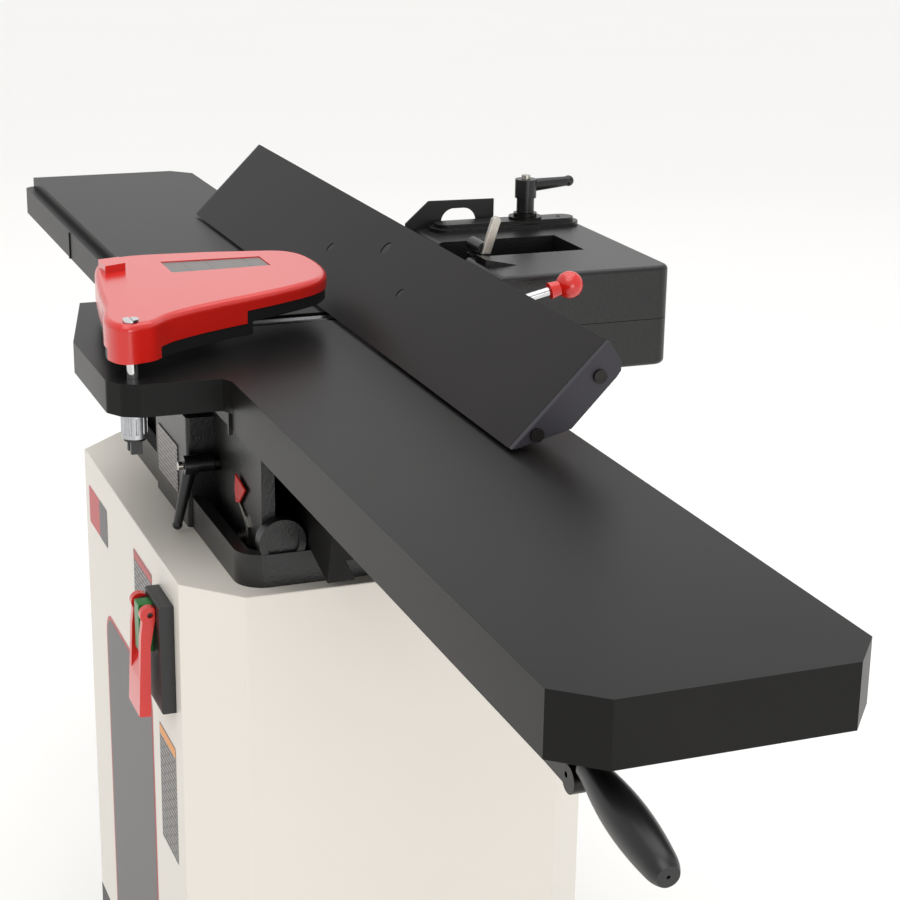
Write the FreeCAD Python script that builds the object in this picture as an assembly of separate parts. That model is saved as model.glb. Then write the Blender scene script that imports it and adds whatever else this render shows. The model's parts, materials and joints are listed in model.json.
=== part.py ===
import FreeCAD, Part
import os
from math import asin, atan2, cos, degrees, pi, radians, sin, sqrt

# A floor-standing jointer on a closed cabinet. Millimetres, +Z up.
# The origin is on the floor, under the middle of the cabinet and of the cutterhead.
# +X runs towards the infeed end, +Y from the operator's side towards the fence carriage.

V = FreeCAD.Vector
PARTS = "parts"

# ---------------------------------------------------------------- driving dimensions

TABLE_TOP = 826.0
TABLE_FRONT, TABLE_BACK = -140.0, 76.0
TABLE_DEPTH = 44.0
TABLE_SKIN = 13.0
TABLE_WALL = 12.0
INFEED_END, OUTFEED_END = 886.0, -826.0
INFEED_LIP, OUTFEED_LIP = 16.0, -18.0
LIP_GAP = 1.7
RABBET_WIDE, RABBET_DROP = 11.0, 11.5

CUTTER_R = 38.5
CUTTER_BODY_R = 37.0
CUTTER_FRONT, CUTTER_BACK = -127.0, 75.0
CUTTER_Z = TABLE_TOP - CUTTER_R
JOURNAL_R = 12.5

WAY_SLOPE = 15.0
WAY_START_X, WAY_START_Z = 60.0, 754.0
WAY_Y = -32.0
WAY_TOP, WAY_FOOT, WAY_DROP = 40.0, 30.0, 18.0
WAY_LONG = 176.0
GIB_WIDE = 6.0
FIT = 0.4

CAB_X, CAB_FRONT, CAB_BACK = 252.0, -194.0, 196.0
CAB_CUT_X, CAB_CUT_Y = 48.0, 47.0
CAB_TOP, CAB_SHEET = 651.0, 2.5
PLINTH_H, PLINTH_SHEET, FLANGE_WIDE = 143.0, 3.0, 42.0
ANCHOR_X, ANCHOR_Y, ANCHOR_R = 150.0, 171.0, 5.5

BASE_X, BASE_Y = 236.0, 146.0
BASE_FLOOR, BASE_LIP, BASE_WALL = 12.0, 30.0, 12.0
BASE_CORNER = 26.0

ARM_THICK = 29.0
POST_X, POST_Y, POST_R = 158.0, -217.5, 5.0
GUARD_TOP, GUARD_LOW = 49.5, 24.5

FENCE_Y, FENCE_Z = 7.9, 829.0
FENCE_LEAN = 45.0
FENCE_LOW_X, FENCE_HIGH_X = -516.0, 456.0
FENCE_FACE, FENCE_THICK = 112.0, 26.0
CAP_THICK = 6.0

CARRIAGE_X0, CARRIAGE_X1 = -104.0, 131.0
CARRIAGE_Y0, CARRIAGE_Y1 = 132.0, 308.0
CARRIAGE_LOW, CARRIAGE_TOP = 833.4, 884.0
SLIDE_LOW, SLIDE_TOP = 787.0, 833.0

LEVER_X, LEVER_Z = 430.0, 760.0
LEVER_Y, CRANK_Y = -100.0, 50.0
CRANK_R = 80.0
CRANK_START = 17.2
LINK_X, LINK_Z = 262.0, 684.0


# ---------------------------------------------------------------- shape helpers

def save(name, shape):
    """Write one sub-part as a STEP file of its own."""
    solids = [s.removeSplitter() for s in shape.Solids]
    whole = solids[0] if len(solids) == 1 else Part.makeCompound(solids)
    whole.exportStep(os.path.join(PARTS, name + ".step"))


def box(x0, x1, y0, y1, z0, z1):
    return Part.makeBox(x1 - x0, y1 - y0, z1 - z0, V(x0, y0, z0))


def rod(start, end, r):
    a, b = V(*start), V(*end)
    return Part.makeCylinder(r, (b - a).Length, a, b - a)


def tube(start, end, outer, inner):
    return rod(start, end, outer).cut(rod(start, end, inner))


def outline(points):
    return Part.Face(Part.makePolygon(points + [points[0]]))


def plan(points, z0, z1):
    """A flat outline in X, Y raised from z0 to z1."""
    return outline([V(x, y, z0) for x, y in points]).extrude(V(0, 0, z1 - z0))


def section(points, x0, x1):
    """An outline in Y, Z drawn out along X."""
    return outline([V(x0, y, z) for y, z in points]).extrude(V(x1 - x0, 0, 0))


def profile(points, y0, y1):
    """An outline in X, Z drawn out along Y."""
    return outline([V(x, y0, z) for x, z in points]).extrude(V(0, y1 - y0, 0))


def fuse(*shapes):
    first, rest = shapes[0], list(shapes[1:])
    return first.fuse(rest).removeSplitter() if rest else first


def mirrored(shape):
    """The same shape on the other side of the cutterhead."""
    return shape.mirror(V(0, 0, 0), V(1, 0, 0))


def rounded(shape, radius, pick):
    """Round the edges that pick(edge) accepts."""
    edges = [e for e in shape.Edges if pick(e)]
    return shape.makeFillet(radius, edges) if edges else shape


def upright(edge):
    """True for a straight edge along Z."""
    if edge.Curve.TypeId != "Part::GeomLine":
        return False
    a, b = edge.Vertexes[0].Point, edge.Vertexes[-1].Point
    return abs(a.x - b.x) < 0.01 and abs(a.y - b.y) < 0.01


def at_height(z):
    """Accepts edges that lie wholly at one height."""
    return lambda e: abs(e.BoundBox.ZMin - z) < 0.01 and abs(e.BoundBox.ZMax - z) < 0.01


def hex_head(start, direction, across, high):
    """A hexagonal bolt head standing on start along direction."""
    d = V(*direction)
    side = d.cross(V(0, 0, 1)) if abs(d.z) < 0.9 else V(1, 0, 0)
    side.normalize()
    other = d.cross(side)
    r = across / sqrt(3)
    pts = [V(*start) + side * (r * cos(k * pi / 3)) + other * (r * sin(k * pi / 3)) for k in range(6)]
    return outline(pts).extrude(d * high)


# ---------------------------------------------------------------- sloping ways

def on_way(shape):
    """Move a shape drawn on a level way on to the sloping infeed way."""
    moved = shape.copy()
    moved.rotate(V(0, 0, 0), V(0, 1, 0), WAY_SLOPE)
    moved.translate(V(WAY_START_X, WAY_Y, WAY_START_Z))
    return moved


def way_ridge():
    """The male dovetail that a table slides on, with the block under it."""
    dovetail = section(
        [(-WAY_FOOT, -WAY_DROP - 1), (-WAY_FOOT, -WAY_DROP), (-WAY_TOP, 0), (WAY_TOP, 0),
         (WAY_FOOT, -WAY_DROP), (WAY_FOOT, -WAY_DROP - 1)], 2, WAY_LONG)
    block = box(WAY_START_X + 2, BASE_X - BASE_WALL, WAY_Y - WAY_FOOT, WAY_Y + WAY_FOOT,
                CAB_TOP + 2, WAY_START_Z)
    above = on_way(box(-60, 260, -100, 100, -WAY_DROP - 0.5, 120))
    return fuse(block.cut(above), on_way(dovetail))


def way_saddle():
    """The block under a table, with the female dovetail and room for its gib."""
    side = WAY_TOP - WAY_FOOT
    lift = FIT * side / WAY_DROP
    groove = section(
        [(-WAY_FOOT - FIT, -40), (-WAY_FOOT - FIT, -WAY_DROP), (-WAY_TOP - FIT - lift, FIT),
         (WAY_TOP + FIT + lift + GIB_WIDE, FIT), (WAY_FOOT + FIT + GIB_WIDE, -WAY_DROP),
         (WAY_FOOT + FIT + GIB_WIDE, -40)], -20, 280)
    block = box(12, 244, -54, 60, -21, 120).cut(groove)
    below_skin = box(0, 400, -200, 200, 500, TABLE_TOP - 5)
    return on_way(block).common(below_skin)


def way_gib():
    """The flat strip that takes up the play between ridge and saddle."""
    inner, outer = FIT + 0.2, FIT + GIB_WIDE - 0.2
    strip = section(
        [(WAY_FOOT + inner, -WAY_DROP + 0.6), (WAY_TOP + inner - 0.6, -0.6),
         (WAY_TOP + outer - 0.6, -0.6), (WAY_FOOT + outer, -WAY_DROP + 0.6)], 14, 242)
    return on_way(strip)


# ---------------------------------------------------------------- stand

def cabinet_outline(grow=0.0):
    x, y0, y1 = CAB_X + grow, CAB_FRONT - grow, CAB_BACK + grow
    cx, cy = CAB_CUT_X + grow * 0.41, CAB_CUT_Y + grow * 0.41
    return [(-x + cx, y0), (x - cx, y0), (x, y0 + cy), (x, y1 - cy),
            (x - cx, y1), (-x + cx, y1), (-x, y1 - cy), (-x, y0 + cy)]


DUCT_FRONT, DUCT_BACK, DUCT_HALF = -98.0, 72.0, 46.0
BELT_Y0, BELT_Y1 = 108.0, 124.0
PORT_Y, PORT_Z, PORT_R, PORT_BORE, PORT_LONG = -13.0, 430.0, 50.0, 47.5, 52.0
DOOR_X, DOOR_LOW, DOOR_HIGH = 165.0, 158.0, 560.0
SHELF_Z = 168.0


def cabinet_shell():
    outer = plan(cabinet_outline(), PLINTH_H, CAB_TOP)
    inner = plan(cabinet_outline(-CAB_SHEET), PLINTH_H - 1, CAB_TOP - CAB_SHEET)
    shell = outer.cut(inner)
    chip_hole = box(-DUCT_HALF, DUCT_HALF, DUCT_FRONT, DUCT_BACK, CAB_TOP - 10, CAB_TOP + 10)
    belt_hole = box(-62, 62, BELT_Y0 - 6, BELT_Y1 + 6, CAB_TOP - 10, CAB_TOP + 10)
    door_hole = box(-DOOR_X + 18, DOOR_X - 18, CAB_BACK - 10, CAB_BACK + 10, DOOR_LOW + 18, DOOR_HIGH - 18)
    port_hole = rod((-CAB_X - 10, PORT_Y, PORT_Z), (-CAB_X + 10, PORT_Y, PORT_Z), PORT_BORE)
    return shell.cut([chip_hole, belt_hole, door_hole, port_hole])


def cabinet_plinth():
    """The dark lower band of the stand, turned in along the floor for the anchors."""
    band = plan(cabinet_outline(), 0, PLINTH_H - 0.2).cut(plan(cabinet_outline(-PLINTH_SHEET), -1, 200))
    flange = plan(cabinet_outline(), 0, 5).cut(plan(cabinet_outline(-FLANGE_WIDE), -1, 80))
    top_flange = plan(cabinet_outline(-PLINTH_SHEET), PLINTH_H - 5.2, PLINTH_H - 0.2)
    top_flange = top_flange.cut(plan(cabinet_outline(-24), PLINTH_H - 10, PLINTH_H + 10))
    spots = [(x, y) for x in (-ANCHOR_X, ANCHOR_X) for y in (-ANCHOR_Y, ANCHOR_Y)]
    holes = [rod((x, y, -1), (x, y, 9), ANCHOR_R) for x, y in spots]
    return fuse(band, flange, top_flange).cut(holes)


def access_panel():
    panel = box(-DOOR_X, DOOR_X, CAB_BACK + 0.1, CAB_BACK + 2.1, DOOR_LOW, DOOR_HIGH)
    louvres = [box(-70, 70, CAB_BACK - 5, CAB_BACK + 5, z, z + 5) for z in range(200, 320, 15)]
    return panel.cut(louvres)


def panel_screws():
    spots = [(x, z) for x in (-DOOR_X + 9, DOOR_X - 9) for z in (DOOR_LOW + 9, 335, DOOR_HIGH - 9)]
    return Part.makeCompound([rod((x, CAB_BACK + 2.2, z), (x, CAB_BACK + 5.2, z), 5.0) for x, z in spots])


def dust_port():
    """A round sheet collar with a square flange, for the extraction hose."""
    flange = box(-CAB_X - 2.1, -CAB_X - 0.1, PORT_Y - 68, PORT_Y + 68, PORT_Z - 68, PORT_Z + 68)
    collar = rod((-CAB_X - PORT_LONG, PORT_Y, PORT_Z), (-CAB_X - 1, PORT_Y, PORT_Z), PORT_R)
    hole = rod((-CAB_X - 100, PORT_Y, PORT_Z), (-CAB_X + 5, PORT_Y, PORT_Z), PORT_BORE)
    return fuse(flange, collar).cut(hole)


def chip_chute():
    """The sheet duct from under the cutterhead down to the dust port."""
    right, left = DUCT_HALF, -CAB_X + CAB_SHEET + 0.3
    top, wall = CAB_TOP - CAB_SHEET - 0.2, 2.0
    low, high = PORT_Z - 55, PORT_Z + 55
    outer = profile([(right, top), (right, 560), (left, low), (left, high), (-DUCT_HALF, 600),
                     (-DUCT_HALF, top)], DUCT_FRONT, DUCT_BACK)
    inner = profile([(right - wall, top + 9), (right - wall, 560 + wall), (left - 9, low + wall),
                     (left - 9, high - 9), (-DUCT_HALF + wall, 600 - wall), (-DUCT_HALF + wall, top + 9)],
                    DUCT_FRONT + wall, DUCT_BACK - wall)
    return outer.cut(inner)


# ---------------------------------------------------------------- bed casting

PEDESTAL_X0, PEDESTAL_X1 = -61.0, 66.0
PEDESTAL_FRONT, PEDESTAL_BACK = -150.0, -122.0
PEDESTAL_TOP = 757.0
REAR_POST_Y0, REAR_POST_Y1 = 77.5, 101.0
BOSS_Y, BOSS_Z, BOSS_R = -108.5, 690.0, 21.0
WALL_TOP = 768.0
LUG_Y0, LUG_Y1 = CRANK_Y - 20.5, CRANK_Y - 14.5


def base_casting():
    low, lip = CAB_TOP + 0.2, CAB_TOP + BASE_LIP
    tray = box(-BASE_X, BASE_X, -BASE_Y, BASE_Y, low, lip)
    tray = rounded(tray, BASE_CORNER, upright)
    hollow = box(-BASE_X + BASE_WALL, BASE_X - BASE_WALL, -BASE_Y + BASE_WALL, BASE_Y - BASE_WALL,
                 low + BASE_FLOOR, lip + 5)
    tray = tray.cut(rounded(hollow, BASE_CORNER - BASE_WALL, upright))
    pedestal = box(PEDESTAL_X0, PEDESTAL_X1, PEDESTAL_FRONT, PEDESTAL_BACK, low, PEDESTAL_TOP)
    pedestal = rounded(pedestal, 4, lambda e: upright(e) and e.CenterOfMass.y < PEDESTAL_BACK - 1)
    body = box(-BASE_X + BASE_WALL, BASE_X - BASE_WALL, -124, -112, low, WALL_TOP)
    rear = box(-BASE_X + 26, BASE_X - 26, 62, 74, low, 724)
    slope_cut = on_way(box(-20, 300, -200, 200, -24, 120))
    rear = rear.cut([slope_cut, mirrored(slope_cut)])
    post = box(-34, 34, REAR_POST_Y0, REAR_POST_Y1, low, PEDESTAL_TOP)
    cross = [box(s * 56 - 6, s * 56 + 6, -122, 74, low, 735) for s in (-1, 1)]
    ridges = [way_ridge(), mirrored(way_ridge())]
    boss = rod((BASE_X - 14, BOSS_Y, BOSS_Z), (BASE_X - 1, BOSS_Y, BOSS_Z), BOSS_R)
    boss = boss.cut(rod((BASE_X - 4, BOSS_Y, BOSS_Z), (BASE_X + 1, BOSS_Y, BOSS_Z), BOSS_R - 6))
    link_lug = fuse(box(BASE_X - 12, LINK_X, LUG_Y0, LUG_Y1, low + 6, LINK_Z + 9),
                    rod((LINK_X, LUG_Y0, LINK_Z), (LINK_X, LUG_Y1, LINK_Z), 9))
    link_hole = rod((LINK_X, LUG_Y0 - 1, LINK_Z), (LINK_X, LUG_Y1 + 1, LINK_Z), 5.02)
    whole = fuse(tray, pedestal, body, rear, post, *cross, *ridges, boss, link_lug)
    chip_way = box(-50, 50, -98, 62, low - 5, 800)
    behind = box(-62, 62, 101.5, BELT_Y1 + 8, low - 5, 800)
    swing_room = rod((0, CUTTER_FRONT - 1.5, CUTTER_Z), (0, CUTTER_BACK + 1.5, CUTTER_Z), CUTTER_R + 2.5)
    return whole.cut([chip_way, behind, link_hole, swing_room])


def base_bolts():
    """Hexagon bolts: four hold the casting down, one holds the depth pointer."""
    z = CAB_TOP + 0.2 + BASE_FLOOR
    spots = [(x, y) for x in (-190, 190) for y in (-100, 118)]
    bolts = [fuse(rod((x, y, z), (x, y, z + 2), 11), hex_head((x, y, z + 2), (0, 0, 1), 17, 9))
             for x, y in spots]
    return Part.makeCompound(bolts + [pointer_bolt()])


def label_plate():
    return box(-46, 31, PEDESTAL_FRONT - 1.1, PEDESTAL_FRONT - 0.1, 674, 721)


HOUSING_R, BEARING_OUT, BEARING_WIDE = 31.0, 26.0, 15.0


def bearing_housing(y0, y1, seat, through):
    """A bolted block with a round top that carries one cutterhead bearing."""
    foot = box(-30, 30, y0, y1, PEDESTAL_TOP + 0.2, CUTTER_Z)
    round_top = rod((0, y0, CUTTER_Z), (0, y1, CUTTER_Z), HOUSING_R)
    seat_hole = rod((0, seat, CUTTER_Z), (0, seat + BEARING_WIDE + 0.4, CUTTER_Z), BEARING_OUT + 0.02)
    shaft_hole = rod((0, through[0], CUTTER_Z), (0, through[1], CUTTER_Z), JOURNAL_R + 2)
    under = box(-60, 60, y0 - 1, y1 + 1, PEDESTAL_TOP - 60, PEDESTAL_TOP + 0.2)
    return fuse(foot, round_top).cut([seat_hole, shaft_hole, under])


FRONT_SEAT, REAR_SEAT = -147.0, 81.0


def ball_bearing(seat):
    y0, y1 = seat + 0.2, seat + 0.2 + BEARING_WIDE
    ring = tube((0, y0, CUTTER_Z), (0, y1, CUTTER_Z), BEARING_OUT, JOURNAL_R + 0.05)
    groove = tube((0, y0 - 1, CUTTER_Z), (0, y0 + 0.6, CUTTER_Z), 22.0, 17.5)
    other = tube((0, y1 - 0.6, CUTTER_Z), (0, y1 + 1, CUTTER_Z), 22.0, 17.5)
    return ring.cut([groove, other])


# ---------------------------------------------------------------- cutterhead and drive

KNIVES, KNIFE_REST = 3, -20.0
KNIFE_THICK, KNIFE_GIB, SLOT_FLOOR = 3.0, 10.0, 16.0
PULLEY_R, PULLEY_BORE = 32.0, 10.0
MOTOR_X, MOTOR_Z, MOTOR_R = 40.0, 268.0, 72.0
MOTOR_PULLEY_R = 44.0


def round_cutter(shape, k):
    turned = shape.copy()
    turned.rotate(V(0, 0, CUTTER_Z), V(0, 1, 0), k * 360.0 / KNIVES + KNIFE_REST)
    return turned


def cutter_slot(k):
    slot = box(-0.1, KNIFE_THICK + KNIFE_GIB + 0.3, CUTTER_FRONT - 1, CUTTER_BACK + 1,
               CUTTER_Z + SLOT_FLOOR, CUTTER_Z + 60)
    return round_cutter(slot, k)


def cutterhead_body():
    body = rod((0, CUTTER_FRONT, CUTTER_Z), (0, CUTTER_BACK, CUTTER_Z), CUTTER_BODY_R)
    body = body.cut([cutter_slot(k) for k in range(KNIVES)])
    front = rod((0, FRONT_SEAT + 1, CUTTER_Z), (0, CUTTER_FRONT + 1, CUTTER_Z), JOURNAL_R)
    back = rod((0, CUTTER_BACK - 1, CUTTER_Z), (0, 102, CUTTER_Z), JOURNAL_R)
    tail = rod((0, 101, CUTTER_Z), (0, 131, CUTTER_Z), PULLEY_BORE)
    return fuse(body, front, back, tail)


def knives():
    low, high = CUTTER_Z + SLOT_FLOOR + 1, CUTTER_Z + 38.3
    blade = box(0.1, KNIFE_THICK, CUTTER_FRONT + 1, CUTTER_BACK - 1, low, high)
    blade = blade.cut(box(-1, 1, CUTTER_FRONT, CUTTER_BACK, high - 0.7, high + 20))
    return Part.makeCompound([round_cutter(blade, k) for k in range(KNIVES)])


SCREW_YS = [-105.4 + k * 19.7 for k in range(9)]


def knife_gibs():
    x0, x1 = KNIFE_THICK + 0.1, KNIFE_THICK + KNIFE_GIB
    bar = box(x0, x1, CUTTER_FRONT + 1, CUTTER_BACK - 1, CUTTER_Z + SLOT_FLOOR + 1, CUTTER_Z + 34.5)
    middle = (x0 + x1) / 2
    holes = [rod((middle, y, CUTTER_Z + 26), (middle, y, CUTTER_Z + 40), 3.6) for y in SCREW_YS]
    bar = bar.cut(holes)
    return Part.makeCompound([round_cutter(bar, k) for k in range(KNIVES)])


def gib_screws():
    middle = KNIFE_THICK + (KNIFE_GIB + 0.1) / 2
    pins = [rod((middle, y, CUTTER_Z + 26.1), (middle, y, CUTTER_Z + 34.0), 3.5) for y in SCREW_YS]
    return Part.makeCompound([round_cutter(p, k) for k in range(KNIVES) for p in pins])


def v_pulley(x, z, r, bore):
    """A pulley with one V groove between BELT_Y0 and BELT_Y1."""
    wheel = rod((x, BELT_Y0 - 2, z), (x, BELT_Y1 + 2, z), r)
    half = r - 9
    ring = outline([V(x, BELT_Y0 + 1, z + r + 1), V(x, BELT_Y1 - 1, z + r + 1),
                    V(x, BELT_Y1 - 4, z + half), V(x, BELT_Y0 + 4, z + half)])
    groove = ring.revolve(V(x, 0, z), V(0, 1, 0), 360)
    return wheel.cut([groove, rod((x, 90, z), (x, 140, z), bore + 0.02)])


def stretched(x0, z0, r0, x1, z1, r1, y0, y1):
    """The band that goes round two circles, filled in."""
    a, b = V(x0, y0, z0), V(x1, y0, z1)
    d = b - a
    lean = asin((r0 - r1) / d.Length)
    face = atan2(d.z, d.x)
    hull = []
    for side in (1, -1):
        turn = face + side * (pi / 2 - lean)
        n = V(cos(turn), 0, sin(turn))
        hull += [a + n * r0, b + n * r1] if side == 1 else [b + n * r1, a + n * r0]
    quad = outline(hull).extrude(V(0, y1 - y0, 0))
    return fuse(rod((x0, y0, z0), (x0, y1, z0), r0), rod((x1, y0, z1), (x1, y1, z1), r1), quad)


def drive_belt():
    y0, y1 = BELT_Y0 + 3.5, BELT_Y1 - 3.5
    outer = stretched(0, CUTTER_Z, PULLEY_R + 1, MOTOR_X, MOTOR_Z, MOTOR_PULLEY_R + 1, y0, y1)
    inner = stretched(0, CUTTER_Z, PULLEY_R - 5, MOTOR_X, MOTOR_Z, MOTOR_PULLEY_R - 5, y0 - 1, y1 + 1)
    return outer.cut(inner)


def motor_body():
    body = rod((MOTOR_X, -78, MOTOR_Z), (MOTOR_X, 82, MOTOR_Z), MOTOR_R)
    cover = rod((MOTOR_X, -112, MOTOR_Z), (MOTOR_X, -78, MOTOR_Z), MOTOR_R - 6)
    nose = rod((MOTOR_X, 82, MOTOR_Z), (MOTOR_X, 94, MOTOR_Z), 42)
    feet = box(MOTOR_X - 62, MOTOR_X + 62, -55, 60, SHELF_Z + 10.2, MOTOR_Z - 40)
    fins = []
    for k in range(18):
        fin = box(MOTOR_X - 1.5, MOTOR_X + 1.5, -70, 74, MOTOR_Z + MOTOR_R - 3, MOTOR_Z + MOTOR_R + 7)
        fin.rotate(V(MOTOR_X, 0, MOTOR_Z), V(0, 1, 0), -110 + k * 220.0 / 17)
        fins.append(fin)
    terminal = box(MOTOR_X - 112, MOTOR_X - MOTOR_R + 6, -40, 40, MOTOR_Z - 30, MOTOR_Z + 30)
    bore = rod((MOTOR_X, 40, MOTOR_Z), (MOTOR_X, 100, MOTOR_Z), 12.05)
    return fuse(body, cover, nose, feet, terminal, *fins).cut(bore)


def motor_shaft():
    wide = rod((MOTOR_X, 42, MOTOR_Z), (MOTOR_X, 98, MOTOR_Z), 12.0)
    tail = rod((MOTOR_X, 97, MOTOR_Z), (MOTOR_X, 128, MOTOR_Z), PULLEY_BORE)
    return fuse(wide, tail)


def motor_shelf():
    """The plate inside the cabinet that the motor's feet are bolted to."""
    plate = plan(cabinet_outline(-CAB_SHEET - 0.3), SHELF_Z, SHELF_Z + 10)
    window = box(-160, -60, -110, 110, SHELF_Z - 5, SHELF_Z + 15)
    return plate.cut(window)


# ---------------------------------------------------------------- tables

def arm_outline():
    """The rabbeting arm in front of the tables, seen from above."""
    return [(44, TABLE_FRONT + 1), (44, TABLE_FRONT - 39), (-125, TABLE_FRONT - 39), (-125, -207),
            (22, -242), (158, -241), (174, -231), (181, -216), (183, -146), (197, TABLE_FRONT + 1)]


def cutter_room():
    """The space round the cutterhead that both table lips stay out of."""
    r = CUTTER_R + LIP_GAP
    y0, y1 = TABLE_FRONT - 12, TABLE_BACK + 40
    return fuse(rod((0, y0, CUTTER_Z), (0, y1, CUTTER_Z), r), box(-r, r, y0, y1, 700, CUTTER_Z))


def infeed_table():
    low = TABLE_TOP - TABLE_DEPTH
    slab = plan([(INFEED_LIP, TABLE_FRONT), (INFEED_END - 26.5, TABLE_FRONT),
                 (INFEED_END, TABLE_FRONT + 30.4), (INFEED_END, TABLE_BACK - 26),
                 (INFEED_END - 31, TABLE_BACK), (INFEED_LIP, TABLE_BACK)], low, TABLE_TOP)
    ceiling = TABLE_TOP - TABLE_SKIN
    cells = [(64, 404), (416, 560), (570, 710), (720, INFEED_END - 42)]
    pockets = [box(x0, x1, TABLE_FRONT + TABLE_WALL, TABLE_BACK - TABLE_WALL, low - 1, ceiling)
               for x0, x1 in cells]
    arm = plan(arm_outline(), TABLE_TOP - ARM_THICK, TABLE_TOP)
    arm = rounded(arm, 9, lambda e: upright(e) and e.CenterOfMass.x > 150 and e.CenterOfMass.y < -210)
    arm_hollow = plan([(-113, -190), (-113, -199), (24, -231), (128, -230), (128, -190)],
                      TABLE_TOP - ARM_THICK - 1, TABLE_TOP - 12)
    rib = box(186, 190, TABLE_FRONT - 2.5, TABLE_FRONT + 1, low - 5, TABLE_TOP - ARM_THICK + 4)
    lugs = [box(LEVER_X - 14, LEVER_X + 14, y, y + 12, LEVER_Z - 14, ceiling + 1) for y in (-84, 22)]
    lug_hole = rod((LEVER_X, -120, LEVER_Z), (LEVER_X, 60, LEVER_Z), 8.05)
    post_hole = rod((POST_X, POST_Y, 760), (POST_X, POST_Y, 840), POST_R + 0.3)
    table = fuse(slab.cut(pockets), way_saddle(), arm.cut(arm_hollow), rib, *lugs)
    return table.cut([lug_hole, post_hole, cutter_room()])


def outfeed_table():
    low = TABLE_TOP - TABLE_DEPTH
    slab = plan([(OUTFEED_LIP, TABLE_FRONT), (OUTFEED_LIP, TABLE_BACK),
                 (OUTFEED_END + 24, TABLE_BACK), (OUTFEED_END, TABLE_BACK - 24),
                 (OUTFEED_END, TABLE_FRONT + 8), (OUTFEED_END + 8, TABLE_FRONT)], low, TABLE_TOP)
    ledge = box(-900, 0, TABLE_FRONT - 1, TABLE_FRONT + RABBET_WIDE, TABLE_TOP - RABBET_DROP, TABLE_TOP + 1)
    ceiling = TABLE_TOP - TABLE_SKIN
    cells = [(-404, -64), (-560, -416), (-710, -570), (OUTFEED_END + 36, -720)]
    pockets = [box(x0, x1, TABLE_FRONT + TABLE_WALL, TABLE_BACK - TABLE_WALL, low - 1, ceiling)
               for x0, x1 in cells]
    front_skin = box(-900, 0, TABLE_FRONT, TABLE_FRONT + 24, ceiling - 12, ceiling)
    rib = box(-530, -526, TABLE_FRONT - 1.5, TABLE_FRONT + 1, low, TABLE_TOP - RABBET_DROP - 2)
    table = slab.cut(pockets)
    table = fuse(table, front_skin.common(slab), mirrored(way_saddle()), rib)
    return table.cut([cutter_room(), ledge])


def outfeed_lock_bolts():
    """Two set bolts in the rear wall of the outfeed saddle."""
    spots = [(-150, 735), (-220, 716)]
    return Part.makeCompound([fuse(rod((x, WAY_Y + 60.2, z), (x, WAY_Y + 66, z), 5),
                                   hex_head((x, WAY_Y + 66, z), (0, 1, 0), 16, 8)) for x, z in spots])


# ---------------------------------------------------------------- raising lever

def crank_pin():
    a = radians(CRANK_START)
    return LEVER_X + CRANK_R * sin(a), LEVER_Z - CRANK_R * cos(a)


EYE_X, EYE_Z = 826.0, 748.0
GRIP_X0, GRIP_Z0 = 838.0, 761.0
GRIP_X1, GRIP_Z1 = 942.0, 743.5
GRIP_BORE, GRIP_CAP = 4.06, 5.0


def grip_axis(along):
    """The point on the grip's axis that lies along mm from its inner end."""
    dx, dz = GRIP_X1 - GRIP_X0, GRIP_Z1 - GRIP_Z0
    long = sqrt(dx * dx + dz * dz)
    return GRIP_X0 + dx * along / long, LEVER_Y, GRIP_Z0 + dz * along / long


def bar_between(x0, z0, x1, z1, half, y0, y1):
    """A flat bar with round ends between two points, in X and Z."""
    d = V(x1 - x0, 0, z1 - z0)
    n = V(-d.z, 0, d.x)
    n.normalize()
    n = n * half
    a, b = V(x0, y0, z0), V(x1, y0, z1)
    flat = outline([a + n, b + n, b - n, a - n]).extrude(V(0, y1 - y0, 0))
    return fuse(flat, rod((x0, y0, z0), (x0, y1, z0), half), rod((x1, y0, z1), (x1, y1, z1), half))


def raising_lever():
    """The cross shaft with its long arm at the front and its short crank inside."""
    px, pz = crank_pin()
    shaft = rod((LEVER_X, LEVER_Y - 6, LEVER_Z), (LEVER_X, CRANK_Y + 6, LEVER_Z), 8.0)
    arm = bar_between(LEVER_X, LEVER_Z, EYE_X, EYE_Z, 9, LEVER_Y - 5, LEVER_Y + 5)
    eye = rod((EYE_X, LEVER_Y - 8, EYE_Z), (EYE_X, LEVER_Y + 8, EYE_Z), 9)
    spigot = fuse(rod((EYE_X, LEVER_Y, EYE_Z), grip_axis(-6), 5.0), rod(grip_axis(-8), grip_axis(-0.6), 6.0))
    crank = bar_between(LEVER_X, LEVER_Z, px, pz, 12, CRANK_Y - 5, CRANK_Y + 5)
    pin = rod((px, CRANK_Y - 16, pz), (px, CRANK_Y + 5, pz), 5.0)
    tail = rod(grip_axis(-3), grip_axis(98), 4.0)
    cross_hole = rod((EYE_X - 3, LEVER_Y - 9, EYE_Z + 2), (EYE_X - 3, LEVER_Y + 9, EYE_Z + 2), 2.0)
    return fuse(shaft, arm, eye, spigot, crank, pin, tail).cut(cross_hole)


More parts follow.
